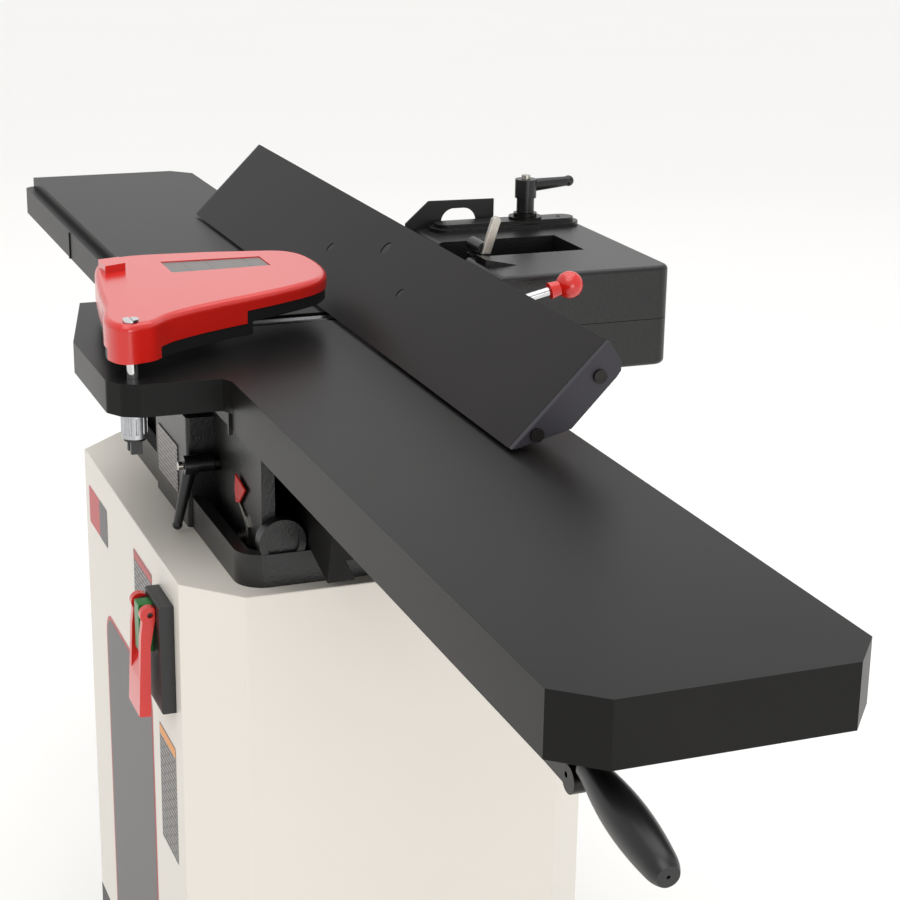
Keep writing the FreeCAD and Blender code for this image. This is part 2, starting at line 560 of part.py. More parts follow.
def raising_grip():
    """A swelling handle that turns on the end of the lever."""
    long = sqrt((GRIP_X1 - GRIP_X0) ** 2 + (GRIP_Z1 - GRIP_Z0) ** 2)
    stations = [(0.0, 8.6), (0.06, 9.0), (0.2, 10.9), (0.45, 13.2), (0.68, 12.9), (0.87, 11.1),
                (0.96, 9.2), (1.0, 7.2)]
    spline = Part.BSplineCurve()
    spline.interpolate([V(t * long, 0, r) for t, r in stations])
    start, end = V(0, 0, stations[0][1]), V(long, 0, stations[-1][1])
    near, far = V(0, 0, GRIP_BORE), V(long - GRIP_CAP, 0, GRIP_BORE)
    wire = Part.Wire([Part.makeLine(near, start), spline.toShape(), Part.makeLine(end, V(long, 0, 0)),
                      Part.makeLine(V(long, 0, 0), V(long - GRIP_CAP, 0, 0)),
                      Part.makeLine(V(long - GRIP_CAP, 0, 0), far), Part.makeLine(far, near)])
    grip = Part.Face(wire).revolve(V(0, 0, 0), V(1, 0, 0), 360)
    grip = grip.cut(rod((long - 1.5, 0, 0), (long + 1, 0, 0), 1.2))
    tilt = degrees(atan2(GRIP_Z0 - GRIP_Z1, GRIP_X1 - GRIP_X0))
    grip.rotate(V(0, 0, 0), V(0, 1, 0), tilt)
    grip.translate(V(GRIP_X0, LEVER_Y, GRIP_Z0))
    return grip


def link_pin():
    return rod((LINK_X, LUG_Y0 - 0.8, LINK_Z), (LINK_X, CRANK_Y - 5.4, LINK_Z), 5.0)


def raising_link():
    """The link from the crank to the bed; its eye at the crank is a long slot."""
    px, pz = crank_pin()
    y0, y1 = CRANK_Y - 14.0, CRANK_Y - 6.0
    bar = bar_between(LINK_X, LINK_Z, px, pz, 9, y0, y1)
    end = rod((px, y0, pz), (px, y1, pz), 16)
    eye = rod((px, y0 - 1, pz), (px, y1 + 1, pz), 10.5)
    hole = rod((LINK_X, y0 - 1, LINK_Z), (LINK_X, y1 + 1, LINK_Z), 5.05)
    return fuse(bar, end).cut([eye, hole])


# ---------------------------------------------------------------- table lock and depth pointer

LOCK_X, LOCK_Z = 80.0, 717.0


def ratchet_handle(centre, out, arm_end, hub_r, hub_long):
    """A clamping handle: a stepped hub and one tapering arm. out points away from the machine."""
    c, o = V(*centre), V(*out)
    neck = Part.makeCylinder(hub_r * 0.82, hub_long * 0.55, c, o)
    hub = Part.makeCylinder(hub_r, hub_long * 0.45, c + o * (hub_long * 0.55), o)
    a = c + o * (hub_long * 0.75)
    d = V(*arm_end) - a
    long = d.Length
    d.normalize()
    arm = Part.makeCone(hub_r * 0.72, hub_r * 0.45, long, a, d)
    tip = Part.makeSphere(hub_r * 0.52, V(*arm_end) - d * (hub_r * 0.1))
    bore = Part.makeCylinder(hub_r * 0.45, hub_long * 0.5, c - o * 0.1, o)
    return fuse(neck, hub, arm, tip).cut(bore)


def infeed_lock_handle():
    return ratchet_handle((LOCK_X, -129, LOCK_Z), (0, -1, 0), (LOCK_X - 4, -163, LOCK_Z - 59), 9.0, 28)


def lock_handle_screw():
    return rod((LOCK_X, -157.9, LOCK_Z), (LOCK_X, -162.0, LOCK_Z), 4.0)


def infeed_lock_stud():
    return fuse(rod((LOCK_X, -124.2, LOCK_Z), (LOCK_X, -128.8, LOCK_Z), 7.5),
                rod((LOCK_X, -128.8, LOCK_Z), (LOCK_X, -141, LOCK_Z), 4.0))


POINTER_X, POINTER_Y, POINTER_Z = 177.0, -124.0, 678.0


def depth_pointer():
    """A bent strip on the front wall of the bed that leans over to the scale."""
    x, y, z = POINTER_X, POINTER_Y, POINTER_Z
    strip = [(x - 4, z - 6), (x + 6, z - 6), (x + 10, z + 12), (x + 1, z + 19), (x - 20, z + 28),
             (x - 23, z + 26), (x - 4, z + 16), (x + 3, z + 10)]
    return profile(strip, y - 2.0, y - 0.2)


def pointer_tip():
    x, y, z = POINTER_X, POINTER_Y, POINTER_Z
    flag = [(x - 24, z + 25), (x - 14, z + 27), (x + 6, z + 45), (x - 14, z + 49), (x - 24, z + 51),
            (x - 27, z + 36)]
    return profile(flag, y - 3.8, y - 2.2)


def pointer_bolt():
    x, y, z = POINTER_X, POINTER_Y, POINTER_Z
    return fuse(rod((x, y - 2.2, z), (x, y - 4.2, z), 6.0), rod((x, y - 4.2, z), (x, y - 9, z), 4.5))


# ---------------------------------------------------------------- cutter guard

def guard_outline():
    """The guard seen from above: a broad heel at the post, a waist and a round toe at the fence."""
    return [(168, -212), (167, -228), (153, -235), (100, -229), (44, -221), (-16, -212), (-62, -203),
            (-91, -189), (-103, -164), (-103, -130), (-99, -85), (-91, -40), (-82, -12), (-65, 0),
            (-38, 5), (-8, 5), (26, -2), (51, -18), (69, -43), (86, -74), (100, -103), (113, -131),
            (130, -162), (150, -187), (163, -199)]


def smooth_plan(points, z0, z1):
    """A closed smooth outline in X, Y raised from z0 to z1."""
    curve = Part.BSplineCurve()
    curve.interpolate([V(x, y, z0) for x, y in points], PeriodicFlag=True)
    return Part.Face(Part.Wire([curve.toShape()])).extrude(V(0, 0, z1 - z0))


def shrunk(points, gap):
    """The outline moved inwards by gap, point by point."""
    out = []
    n = len(points)
    for k, (x, y) in enumerate(points):
        (ax, ay), (bx, by) = points[k - 1], points[(k + 1) % n]
        dx, dy = bx - ax, by - ay
        size = sqrt(dx * dx + dy * dy)
        out.append((x + gap * dy / size, y - gap * dx / size))
    return out


STEP_Y, TOE_LOW, TOE_SKIRT = -99.0, 36.0, 25.0
HEEL_SKIRT, HEEL_DROP = 13.2, 15.0
HEEL_X, HEEL_Y = 146.5, -191.0


def guard_cover():
    """The red moulded cover, hollow from below and shallower over the cutterhead."""
    low, top = TABLE_TOP + GUARD_LOW, TABLE_TOP + GUARD_TOP
    edge = guard_outline()
    heel_low = TABLE_TOP + HEEL_DROP
    cover = smooth_plan(edge, heel_low, top)
    cover = cover.makeFillet(6, [e for e in cover.Edges if at_height(top)(e)])
    above_skirt = [box(-200, HEEL_X, -300, 100, heel_low - 1, low),
                   box(0, 250, HEEL_Y, 100, heel_low - 1, low)]
    inside = smooth_plan(shrunk(edge, 4), heel_low - 1, top - 4)
    toe = box(-200, 250, STEP_Y, 100, low - 1, TABLE_TOP + TOE_LOW)
    post_boss = rod((POST_X, POST_Y, heel_low), (POST_X, POST_Y, top - 2), 9)
    post_hole = rod((POST_X, POST_Y, heel_low - 1), (POST_X, POST_Y, top + 1), POST_R + 0.05)
    label = plan([(-64, -140), (-60, -43), (-19, -43), (-15, -140)], top - 1.2, top + 1)
    tab = plan([(-29, -200), (-38, -179), (-66, -179), (-60, -200)], top - 4, top + 7)
    return fuse(cover.cut([inside, toe] + above_skirt), post_boss, tab).cut([post_hole, label])


def guard_skirt():
    """The black tray that closes the cover: low at the heel, raised over the cutterhead."""
    edge = shrunk(guard_outline(), 1.5)
    heel_low, heel_high = TABLE_TOP + HEEL_SKIRT, TABLE_TOP + GUARD_LOW - 0.2
    toe_low, toe_high = TABLE_TOP + TOE_SKIRT, TABLE_TOP + TOE_LOW - 0.2
    whole = smooth_plan(edge, heel_low, toe_high)
    over_heel = box(-200, 250, -300, STEP_Y + 0.2, heel_high, toe_high + 1)
    under_toe = box(-200, 250, STEP_Y + 6, 100, heel_low - 1, toe_low)
    red_heel = box(HEEL_X - 0.3, 250, -300, HEEL_Y + 0.3, heel_low - 1, toe_high + 1)
    return whole.cut([over_heel, under_toe, red_heel])


SLEEVE_LOW = TABLE_TOP - 52.0


def guard_post():
    """The chromed post that the guard is fixed to and turns on in the arm."""
    top = TABLE_TOP + GUARD_TOP + 0.4
    stem = rod((POST_X, POST_Y, SLEEVE_LOW - 1.5), (POST_X, POST_Y, top), POST_R)
    cap = rod((POST_X, POST_Y, top), (POST_X, POST_Y, top + 2.2), 7.0)
    slot = box(POST_X - 8, POST_X + 8, POST_Y - 0.8, POST_Y + 0.8, top + 1.2, top + 3)
    return fuse(stem, cap).cut(slot)


def guard_spring_sleeve():
    """The grooved sleeve under the arm that holds the guard's return spring."""
    top, low = TABLE_TOP - ARM_THICK - 0.2, SLEEVE_LOW
    sleeve = tube((POST_X, POST_Y, low), (POST_X, POST_Y, top), 11.5, POST_R + 0.3)
    cuts = []
    for k in range(12):
        a = k * pi / 6
        x, y = POST_X + 12.0 * cos(a), POST_Y + 12.0 * sin(a)
        cuts.append(rod((x, y, low + 4), (x, y, top - 4), 1.3))
    return sleeve.cut(cuts)


def guard_spring_clip():
    """The two black lugs of the spring clip under the sleeve."""
    z0, z1 = SLEEVE_LOW - 14.0, SLEEVE_LOW - 2.4
    left = box(POST_X - 9, POST_X - 4, POST_Y - 5, POST_Y + 5, z0, z1)
    right = box(POST_X + 3, POST_X + 8, POST_Y - 5, POST_Y + 5, z0, z1)
    bridge = tube((POST_X, POST_Y, z1 - 0.4), (POST_X, POST_Y, z1 + 2.2), 9.5, POST_R + 0.3)
    return fuse(left, right, bridge)


# ---------------------------------------------------------------- fence

def fence_point(s, n):
    """Y and Z of a point s up the fence's face and n behind it, at rest."""
    a = radians(FENCE_LEAN)
    return FENCE_Y + s * cos(a) + n * sin(a), FENCE_Z + s * sin(a) - n * cos(a)


def fence_section(points, x0, x1):
    return section([fence_point(s, n) for s, n in points], x0, x1)


FENCE_PROFILE = [(0, 0), (FENCE_FACE, 0), (108, 20), (103, 25), (97, FENCE_THICK), (44, 27), (3, 3)]
FACE_SCREWS = [(-114.5, 55.0, 5.0), (-3.0, 84.0, 7.0), (95.0, 54.5, 4.5)]


def fence_rod(x, s, n0, n1, r):
    return rod((x, *fence_point(s, n0)), (x, *fence_point(s, n1)), r)


def fence_body():
    x0, x1 = FENCE_LOW_X + CAP_THICK, FENCE_HIGH_X - CAP_THICK
    body = fence_section(FENCE_PROFILE, x0 + 0.1, x1 - 0.1)
    walls = 9.0
    edges = [x0 + 14, -300, -96, -44, 24, 76, 260, x1 - 14]
    cells = [fence_section([(54, walls), (97, walls), (97, 60), (54, 60)], a + 5, b - 5)
             for a, b in zip(edges, edges[1:])]
    holes = [fence_rod(x, s, -1, 5.0, r + 0.1) for x, s, r in FACE_SCREWS]
    return body.cut(cells + holes)


def fence_end_caps():
    caps = []
    for x in (FENCE_LOW_X, FENCE_HIGH_X - CAP_THICK):
        caps.append(fence_section(FENCE_PROFILE, x, x + CAP_THICK))
    return Part.makeCompound(caps)


def fence_screws():
    """The slotted screws in the face and the cross-head screws in the end caps."""
    screws = [fence_rod(x, s, 0.6, 4.8, r) for x, s, r in FACE_SCREWS]
    for x, step in ((FENCE_LOW_X, -1), (FENCE_HIGH_X, 1)):
        for s in (22.0, 88.0):
            n = 7.5 if s < 50 else 14.0
            head = rod((x + step * 0.1, *fence_point(s, n)), (x + step * 2.6, *fence_point(s, n)), 5.5)
            screws.append(head)
    return Part.makeCompound(screws)


ARC_R, ARC_IN, ARC_OUT, ARC_THICK = 93.0, 82.0, 106.0, 8.0
ARC_XS = [-70.0, 50.0]
PIN_ANGLE, SWING = 20.0, 45.0


def arc_sector(x, r0, r1, a0, a1, thick):
    """Part of a ring round the fence's lower edge, from angle a0 to a1 above level."""
    y, z = FENCE_Y, FENCE_Z
    ring = tube((x, y, z), (x + thick, y, z), r1, r0)
    reach = 3 * r1
    pts = [(y, z)]
    steps = 4
    for k in range(steps + 1):
        a = radians(a0 + (a1 - a0) * k / steps)
        pts.append((y + reach * cos(a), z + reach * sin(a)))
    return ring.common(section(pts, x - 1, x + thick + 1))


def pin_at(angle):
    a = radians(angle)
    return FENCE_Y + ARC_R * cos(a), FENCE_Z + ARC_R * sin(a)


def fence_tilt_brackets():
    """Two slotted arcs behind the fence, centred on its lower edge."""
    plates = []
    for x in ARC_XS:
        plate = arc_sector(x, ARC_IN, ARC_OUT, PIN_ANGLE - SWING - 7, 28, ARC_THICK)
        tongue = fence_section([(62, 9.1), (92, 9.1), (96, 34), (76, 34)], x, x + ARC_THICK)
        foot = fence_section([(60, 9.1), (94, 9.1), (94, 14), (60, 14)], x - 10, x + ARC_THICK + 10)
        slot = arc_sector(x - 1, ARC_R - 5.4, ARC_R + 5.4, PIN_ANGLE - SWING, PIN_ANGLE, ARC_THICK + 2)
        ends = [rod((x - 1, *pin_at(a)), (x + ARC_THICK + 1, *pin_at(a)), 5.4)
                for a in (PIN_ANGLE - SWING, PIN_ANGLE)]
        plates.append(fuse(plate, tongue, foot).cut(fuse(slot, *ends)))
    return Part.makeCompound(plates)


# ---------------------------------------------------------------- fence carriage

LOCK_POST = (-84.0, 247.0)


def carriage_bar(width, z0, z1):
    """A round-ended raised bar along the carriage's far side."""
    (x0, y0), (x1, y1) = (LOCK_POST[0], 160.0), (LOCK_POST[0], 288.0)
    flat = box(x0 - width, x1 + width, y0, y1, z0, z1)
    return fuse(flat, rod((x0, y0, z0), (x0, y0, z1), width), rod((x1, y1, z0), (x1, y1, z1), width))


def fence_carriage():
    block = box(CARRIAGE_X0, CARRIAGE_X1, CARRIAGE_Y0, CARRIAGE_Y1, CARRIAGE_LOW, CARRIAGE_TOP)
    block = rounded(block, 14, lambda e: upright(e) and e.CenterOfMass.y > CARRIAGE_Y0 + 5)
    block = rounded(block, 5, at_height(CARRIAGE_TOP))
    pocket = box(-32, 41, CARRIAGE_Y0 - 5, 257, CARRIAGE_LOW + 24, CARRIAGE_TOP + 5)
    key_way = box(-101, -67, CARRIAGE_Y0 - 5, CARRIAGE_Y1 + 5, CARRIAGE_LOW - 1, CARRIAGE_LOW + 6)
    under = box(CARRIAGE_X0 + 44, CARRIAGE_X1 - 14, CARRIAGE_Y0 + 14, CARRIAGE_Y1 - 14,
                CARRIAGE_LOW - 1, CARRIAGE_LOW + 2)
    bar = fuse(carriage_bar(17, CARRIAGE_TOP - 1, CARRIAGE_TOP + 4),
               carriage_bar(12, CARRIAGE_TOP, CARRIAGE_TOP + 8))
    wedge = section([(CARRIAGE_Y0 + 3, CARRIAGE_TOP - 1), (CARRIAGE_Y0 + 3, CARRIAGE_TOP + 7),
                     (CARRIAGE_Y0 + 40, CARRIAGE_TOP - 1)], 60, 86)
    horns = []
    py, pz = pin_at(PIN_ANGLE)
    for x in ARC_XS:
        x0 = x + ARC_THICK + 0.4
        plate = section([(CARRIAGE_Y0 + 2, 836), (CARRIAGE_Y0 + 2, 880), (py - 2, pz + 11), (py - 9, pz + 6),
                         (py - 9, pz - 6), (py + 6, 845)], x0, x0 + 12)
        horns.append(plate)
    body = fuse(block, bar, wedge, *horns).cut(pocket)
    body = fuse(body, stop_bracket())
    holes = [rod((x - 5, py, pz), (x + 40, py, pz), 5.05) for x in ARC_XS]
    stud = rod((*LOCK_POST, CARRIAGE_LOW - 1), (*LOCK_POST, CARRIAGE_TOP + 20), 6.2)
    mark = rod((LOCK_POST[0], 284, CARRIAGE_TOP + 6.5), (LOCK_POST[0], 284, CARRIAGE_TOP + 9), 2.5)
    return body.cut([key_way, under, stud, mark] + holes)


def tilt_pins():
    """The two pins that the slotted arcs slide on, with their nuts."""
    py, pz = pin_at(PIN_ANGLE)
    x = ARC_XS[0]
    pin = rod((x - 4, py, pz), (x + ARC_THICK + 18, py, pz), 5.0)
    nut = hex_head((x - 4, py, pz), (-1, 0, 0), 15, 7)
    return fuse(pin, nut)


TILT_HUB_X = 166.0
BALL = (168.0, 184.0, 882.0)
BALL_R = 12.5


def tilt_lever_rod():
    """The clamp shaft through the second arc, with a hub and a chromed rod."""
    py, pz = pin_at(PIN_ANGLE)
    x = ARC_XS[1]
    shaft = rod((x - 4, py, pz), (TILT_HUB_X + 8, py, pz), 5.0)
    head = rod((x - 9, py, pz), (x - 4, py, pz), 8.0)
    hub = rod((TILT_HUB_X - 9, py, pz), (TILT_HUB_X + 9, py, pz), 9.5)
    stem = rod((TILT_HUB_X, py, pz), BALL, 4.0)
    return fuse(shaft, head, hub, stem.cut(Part.makeSphere(BALL_R + 9, V(*BALL))))


def tilt_lever_knob():
    """The red ball with its neck."""
    py, pz = pin_at(PIN_ANGLE)
    a, b = V(TILT_HUB_X, py, pz), V(*BALL)
    d = a - b
    d.normalize()
    neck = Part.makeCone(5.5, 8.0, 22, b, d)
    ball = Part.makeSphere(BALL_R, b)
    return fuse(ball, neck).common(Part.makeSphere(BALL_R + 8.9, b))


STOP_X, STOP_Y, STOP_Z = 20.0, 148.0, 893.0


def stop_barrel():
    return rod((STOP_X, STOP_Y, STOP_Z), (STOP_X + 30, STOP_Y, STOP_Z), 6.5)


def stop_lever():
    """A flat plated lever with a round top on the barrel's end."""
    x = STOP_X + 30.3
    flat = section([(STOP_Y - 4.8, STOP_Z - 4), (STOP_Y + 4.8, STOP_Z - 4), (STOP_Y + 14.8, STOP_Z + 27),
                    (STOP_Y + 5.2, STOP_Z + 27)], x, x + 5)
    top = rod((x, STOP_Y + 10, STOP_Z + 27), (x + 5, STOP_Y + 10, STOP_Z + 27), 4.8)
    return fuse(flat, top)


def stop_bracket():
    """The small lug that carries the stop barrel."""
    return box(STOP_X + 8, STOP_X + 22, STOP_Y - 9, STOP_Y + 9, CARRIAGE_LOW + 8, STOP_Z - 6.7)


def carriage_lock_stud():
    x, y = LOCK_POST
    base = CARRIAGE_TOP + 8.2
    washer = tube((x, y, base), (x, y, base + 2.5), 17, 6.3)
    seat = tube((x, y, base + 2.6), (x, y, base + 6), 12, 6.3)
    stud = rod((x, y, SLIDE_TOP - 8), (x, y, base + 22), 6.0)
    return Part.makeCompound([washer, seat, stud])


def carriage_lock_lever():
    x, y = LOCK_POST
    base = CARRIAGE_TOP + 14.6
    hub = tube((x, y, base), (x, y, base + 15), 9, 6.1)
    top = rod((x, y, base + 15), (x, y, base + 34), 11).cut(rod((x, y, base + 14), (x, y, base + 25), 6.1))
    arm = Part.makeCone(6.8, 4.8, 44, V(x, y + 4, base + 27), V(0, 1, 0.06))
    tip = Part.makeSphere(5.6, V(x, y + 47.5, base + 29.7))
    return fuse(hub, top, arm, tip)


def carriage_lever_screw():
    x, y = LOCK_POST
    base = CARRIAGE_TOP + 14.6 + 34.1
    return rod((x, y, base), (x, y, base + 4.0), 4.5)


def rear_guard_plate():
    """The sheet that covers the cutterhead behind the fence, with one large hole."""
    x = CARRIAGE_X0 - 3.2
    sheet = section([(124, 846), (124, 889), (149, 911), (221, 910), (221, 846)], x, x + 2.0)
    hole = rod((x - 1, 177, 888), (x + 4, 177, 888), 14)
    hole = fuse(hole, rod((x - 1, 187, 888), (x + 4, 187, 888), 14), box(x - 1, x + 4, 177, 187, 874, 902))
    return sheet.cut(hole)


def arc_notches(z0, z1):
    """Room at the front for the slotted arcs when the carriage is back."""
    return [box(x - 14, x + 22, CARRIAGE_Y0 - 2, CARRIAGE_Y0 + 56, z0, z1) for x in ARC_XS]


def fence_slide_base():
    block = box(CARRIAGE_X0, CARRIAGE_X1, CARRIAGE_Y0, CARRIAGE_Y1, SLIDE_LOW, SLIDE_TOP)
    block = rounded(block, 14, lambda e: upright(e) and e.CenterOfMass.y > CARRIAGE_Y0 + 5)
    block = rounded(block, 5, at_height(SLIDE_LOW))
    key = box(-100.6, -67.4, CARRIAGE_Y0 + 16, CARRIAGE_Y1 - 14, SLIDE_TOP - 1, SLIDE_TOP + 6)
    slot = box(LOCK_POST[0] - 6.5, LOCK_POST[0] + 6.5, 170, 330, SLIDE_TOP - 12, SLIDE_TOP + 8)
    return fuse(block, key).cut([slot] + arc_notches(SLIDE_LOW - 1, SLIDE_TOP + 8))


def fence_support():
    """The bracket behind the bed that carries the fence slide."""
    top = SLIDE_LOW - 0.2
    plate = box(-100, 112, CARRIAGE_Y0 + 2, 262, top - 14, top)
    foot_z = CAB_TOP + BASE_LIP + 0.2
    webs = []
    for x in (-98.0, 84.0):
        webs.append(section([(134, foot_z), (146, foot_z), (168, foot_z), (250, top - 13), (134, top - 13)],
                            x, x + 12))
    foot = [box(x - 14, x + 26, 134, 168, foot_z, foot_z + 10) for x in (-98.0, 84.0)]
    plate = plate.cut(arc_notches(top - 20, top + 1))
    return fuse(plate, *webs, *foot)


# ---------------------------------------------------------------- switch

SWITCH_X0, SWITCH_X1 = 130.0, 186.0
SWITCH_LOW, SWITCH_HIGH, SWITCH_DEEP = 522.0, 624.0, 13.0
SWITCH_FACE = CAB_FRONT - 0.2 - SWITCH_DEEP
PADDLE_X0, PADDLE_X1, CHEEK = 128.0, 172.0, 8.0
PADDLE_PIVOT_Y, PADDLE_PIVOT_Z = -212.0, 612.0
BUTTON_X0, BUTTON_X1, BUTTON_LOW, BUTTON_HIGH = 141.5, 158.5, 572.0, 618.0


def switch_box():
    """The switch body, with two ears that the stop paddle is hinged on."""
    body = box(SWITCH_X0, SWITCH_X1, SWITCH_FACE, CAB_FRONT - 0.2, SWITCH_LOW, SWITCH_HIGH)
    body = rounded(body, 2, lambda e: abs(e.BoundBox.YMin - SWITCH_FACE) < 0.01
                   and abs(e.BoundBox.YMax - SWITCH_FACE) < 0.01)
    well = box(BUTTON_X0 - 0.5, BUTTON_X1 + 0.5, SWITCH_FACE - 1, SWITCH_FACE + 6, BUTTON_LOW - 0.5,
               BUTTON_HIGH + 0.5)
    y, z = PADDLE_PIVOT_Y, PADDLE_PIVOT_Z
    ears = []
    for x0, x1 in ((PADDLE_X0 + CHEEK + 0.4, BUTTON_X0 - 0.6), (BUTTON_X1 + 0.6, PADDLE_X1 - CHEEK - 0.4)):
        ears.append(box(x0, x1, y, SWITCH_FACE + 1, z - 5, z + 5))
        ears.append(rod((x0, y, z), (x1, y, z), 5))
    pins = [rod((PADDLE_X0 + 3, y, z), (PADDLE_X0 + CHEEK + 2, y, z), 2.5),
            rod((PADDLE_X1 - CHEEK - 2, y, z), (PADDLE_X1 - 3, y, z), 2.5)]
    return fuse(body.cut(well), *ears, *pins)


def start_button():
    return box(BUTTON_X0, BUTTON_X1, SWITCH_FACE - 12.5, SWITCH_FACE + 2.5, BUTTON_LOW, BUTTON_HIGH)


def stop_paddle():
    """The hinged stop flap: two cheeks joined by a scooped web below the start button."""
    y, z = PADDLE_PIVOT_Y, PADDLE_PIVOT_Z
    side = [(y + 4, z - 6), (y - 0.5, z - 30), (y - 2, z - 97), (y - 12.5, z - 96), (y - 9, z - 20),
            (y - 7, z - 4)]
    cheeks = []
    for x in (PADDLE_X0, PADDLE_X1 - CHEEK):
        cheek = fuse(section(side, x, x + CHEEK), rod((x, y - 1, z), (x + CHEEK, y - 1, z), 8))
        cheeks.append(cheek.cut(rod((x - 1, y, z), (x + CHEEK + 1, y, z), 2.6)))
    scoop = [(y - 1.5, z - 50), (y - 2, z - 97), (y - 12.5, z - 96), (y - 11, z - 62), (y - 4, z - 44)]
    clear = box(PADDLE_X0 - 1, PADDLE_X1 + 1, SWITCH_FACE - 0.4, SWITCH_FACE + 20, 500, 700)
    return fuse(*cheeks, section(scoop, PADDLE_X0, PADDLE_X1)).cut(clear)


NODES = [
    cabinet_shell, cabinet_plinth, access_panel, panel_screws, dust_port, chip_chute,
    base_casting, base_bolts, label_plate, motor_shelf, motor_body, motor_shaft, drive_belt,
    cutterhead_body, knives, knife_gibs, gib_screws, infeed_table, outfeed_table, outfeed_lock_bolts,
    raising_lever, raising_grip, raising_link, infeed_lock_handle, lock_handle_screw, infeed_lock_stud,
    depth_pointer, pointer_tip, link_pin, guard_cover, guard_skirt, guard_post,
    guard_spring_sleeve, guard_spring_clip, fence_body, fence_end_caps, fence_screws,
    fence_tilt_brackets, fence_carriage, tilt_pins, tilt_lever_rod, tilt_lever_knob,
    stop_barrel, stop_lever, carriage_lock_stud, carriage_lock_lever, carriage_lever_screw,
    rear_guard_plate, fence_slide_base, fence_support, switch_box, start_button, stop_paddle,
]

os.makedirs(PARTS, exist_ok=True)
for make in NODES:
    save(make.__name__, make())
save("cutterhead_pulley", v_pulley(0, CUTTER_Z, PULLEY_R, PULLEY_BORE))
save("motor_pulley", v_pulley(MOTOR_X, MOTOR_Z, MOTOR_PULLEY_R, PULLEY_BORE))
save("infeed_gib", way_gib())
save("outfeed_gib", mirrored(way_gib()))
save("front_bearing_housing", bearing_housing(-150.0, -130.0, FRONT_SEAT, (-140, -129)))
save("rear_bearing_housing", bearing_housing(77.5, 99.5, REAR_SEAT, (77, 100)))
save("bearings", Part.makeCompound([ball_bearing(FRONT_SEAT), ball_bearing(REAR_SEAT)]))
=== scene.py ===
import json
from math import radians

import bmesh
import bpy
from mathutils import Matrix, Vector

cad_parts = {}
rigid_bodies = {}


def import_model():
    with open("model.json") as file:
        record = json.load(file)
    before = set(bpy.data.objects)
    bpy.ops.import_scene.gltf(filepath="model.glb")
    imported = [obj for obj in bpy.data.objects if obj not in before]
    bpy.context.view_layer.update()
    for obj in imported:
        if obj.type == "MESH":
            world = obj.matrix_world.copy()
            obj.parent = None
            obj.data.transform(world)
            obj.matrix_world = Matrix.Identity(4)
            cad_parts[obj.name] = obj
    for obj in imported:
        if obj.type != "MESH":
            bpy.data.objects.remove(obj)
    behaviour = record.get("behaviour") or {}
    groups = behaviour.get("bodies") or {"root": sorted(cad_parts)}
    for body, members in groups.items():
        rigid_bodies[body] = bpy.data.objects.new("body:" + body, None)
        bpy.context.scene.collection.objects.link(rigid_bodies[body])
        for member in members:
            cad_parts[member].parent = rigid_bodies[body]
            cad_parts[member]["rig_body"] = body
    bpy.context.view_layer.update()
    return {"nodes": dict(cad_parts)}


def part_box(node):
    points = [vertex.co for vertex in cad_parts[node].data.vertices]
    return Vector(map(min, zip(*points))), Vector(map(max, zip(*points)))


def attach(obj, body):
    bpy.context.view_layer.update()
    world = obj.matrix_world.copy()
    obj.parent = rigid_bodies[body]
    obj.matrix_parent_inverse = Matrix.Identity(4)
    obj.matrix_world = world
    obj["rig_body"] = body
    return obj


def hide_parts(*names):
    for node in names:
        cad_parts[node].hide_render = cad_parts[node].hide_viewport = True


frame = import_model()


# ---------------------------------------------------------------- stand

# The cabinet is folded sheet steel with cut-off corners and a screwed rear panel.
# It is powder coated warm white: an even satin skin with a faint orange peel.


def linear(hex_colour):
    """An sRGB hex colour as the linear colour that a shader works in."""
    parts = [int(hex_colour[k:k + 2], 16) / 255 for k in (1, 3, 5)]
    return [p / 12.92 if p <= 0.04045 else ((p + 0.055) / 1.055) ** 2.4 for p in parts] + [1.0]


def add_node(material, kind, settings, links):
    """Adds one node: settings are its options or socket values, links what feeds its sockets."""
    node = material.node_tree.nodes.new(kind)
    for name, value in settings.items():
        if hasattr(node, name):
            setattr(node, name, value)
        else:
            node.inputs[name].default_value = value
    for socket, source in links.items():
        material.node_tree.links.new(source, node.inputs[socket])
    return node


# The colour sockets of a Mix node: its two inputs and its output.
MIX_FIRST, MIX_SECOND, MIX_OUT = 6, 7, 2


def finish(name, dark, light, patch_mm, grain_mm, relief_mm, shader):
    """A surface finish: two close colours in soft patches, and a grain of its real size as relief."""
    material = bpy.data.materials.new(name)
    material.use_nodes = True
    material.node_tree.nodes.clear()
    place = add_node(material, "ShaderNodeTexCoord", {}, {})
    patches = add_node(material, "ShaderNodeTexNoise", {"Scale": 1000 / patch_mm, "Detail": 4.0},
                       {"Vector": place.outputs["Object"]})
    colour = add_node(material, "ShaderNodeMix", {"data_type": "RGBA"},
                      {"Factor": patches.outputs["Fac"]})
    colour.inputs[MIX_FIRST].default_value = linear(dark)
    colour.inputs[MIX_SECOND].default_value = linear(light)
    grain = add_node(material, "ShaderNodeTexNoise", {"Scale": 1000 / grain_mm, "Detail": 3.0},
                     {"Vector": place.outputs["Object"]})
    relief = add_node(material, "ShaderNodeBump", {"Distance": relief_mm / 1000, "Strength": 0.6},
                      {"Height": grain.outputs["Fac"]})
    surface = add_node(material, "ShaderNodeBsdfPrincipled", shader,
                       {"Base Color": colour.outputs[MIX_OUT], "Normal": relief.outputs["Normal"]})
    add_node(material, "ShaderNodeOutputMaterial", {}, {"Surface": surface.outputs["BSDF"]})
    return material


def dress(node, material):
    """Gives a CAD part its finish."""
    part = frame["nodes"][node]
    part.data.materials.clear()
    part.data.materials.append(material)
    return part


SAME_POINT = 0.000004
FLAT_WITHIN, SHARP_OVER, SMOOTH_UNDER = radians(0.4), radians(34), radians(35)


